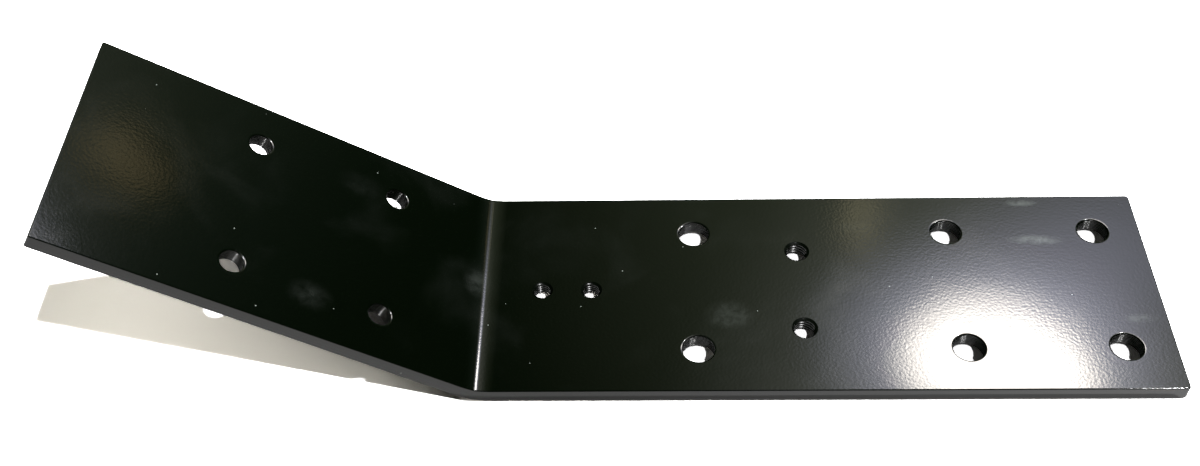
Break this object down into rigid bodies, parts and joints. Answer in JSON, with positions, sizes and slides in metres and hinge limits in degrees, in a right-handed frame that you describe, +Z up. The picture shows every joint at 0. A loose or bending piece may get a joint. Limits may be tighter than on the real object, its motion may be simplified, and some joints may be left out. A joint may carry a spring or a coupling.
{
  "type": "reinforcement bracket",
  "caption": "Flat steel bar folded once: a long leg with plain and tapped holes, and a shorter raised flange with plain holes, in glossy black coat.",
  "frame": {"origin": "on the leg's underside, midway between the two plain holes of the pair nearest the fold", "axes": "+X along the leg away from the fold, +Y across the bar, +Z up through the leg, towards the side that the flange rises to"},
  "size_m": [0.4179, 0.1, 0.0985],
  "materials": {
    "black_coat": "gloss black coat with a slight orange peel"
  },
  "bodies": {
    "root": {"bracket_plate": "black_coat"}
  },
  "joints": []
}
